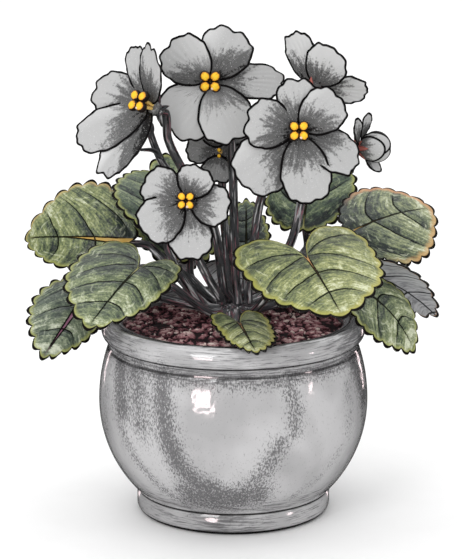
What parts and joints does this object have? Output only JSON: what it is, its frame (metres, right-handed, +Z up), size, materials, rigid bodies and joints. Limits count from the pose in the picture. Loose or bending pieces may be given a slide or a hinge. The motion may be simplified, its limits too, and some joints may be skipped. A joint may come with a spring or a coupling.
{
  "type": "potted african violet",
  "caption": "African violet in a round glazed pot: a rosette of scalloped leaves with pale ruffled blooms on curved stalks above it.",
  "frame": {"origin": "centre of the pot's foot, on the surface that the pot stands on", "axes": "+Z up along the pot's axis, +X to the plant's right as seen from the front, -Y towards the front"},
  "size_m": [0.176, 0.1397, 0.2046],
  "materials": {
    "glaze": "glossy mottled grey glaze",
    "soil": "rough crumbly potting mix",
    "leaf": "quilted hairy leaf",
    "stem": "downy stem",
    "petal": "soft matt petal",
    "red_calyx": "matt sepal",
    "anther": "powdery anther"
  },
  "bodies": {
    "root": {"pot": "glaze", "soil": "soil", "crown": "stem", "blade_upper_left": "leaf", "blade_front_left": "leaf", "blade_low_left": "leaf", "blade_front_right": "leaf", "blade_front_small": "leaf", "blade_upper_right": "leaf", "blade_low_right": "leaf", "blade_turned_right": "leaf", "blade_standing_left": "leaf", "blade_standing_rear": "leaf", "blade_standing_middle": "leaf", "blade_standing_right": "leaf", "blade_rear_left": "leaf", "blade_rear": "leaf", "blade_rear_right": "leaf", "petals_left": "petal", "petals_top": "petal", "petals_right": "petal", "petals_far_right": "petal", "petals_low": "petal", "petals_shaded": "petal", "anthers_left": "anther", "anthers_top": "anther", "anthers_right": "anther", "anthers_far_right": "anther", "anthers_low": "anther", "anthers_shaded": "anther", "stalk_left": "stem", "stalk_top": "stem", "stalk_right": "stem", "stalk_far_right": "stem", "stalk_low": "stem", "stalk_shaded": "stem", "calyx_far_right": "red_calyx", "calyx_bud": "red_calyx", "bud": "petal"}
  },
  "joints": []
}
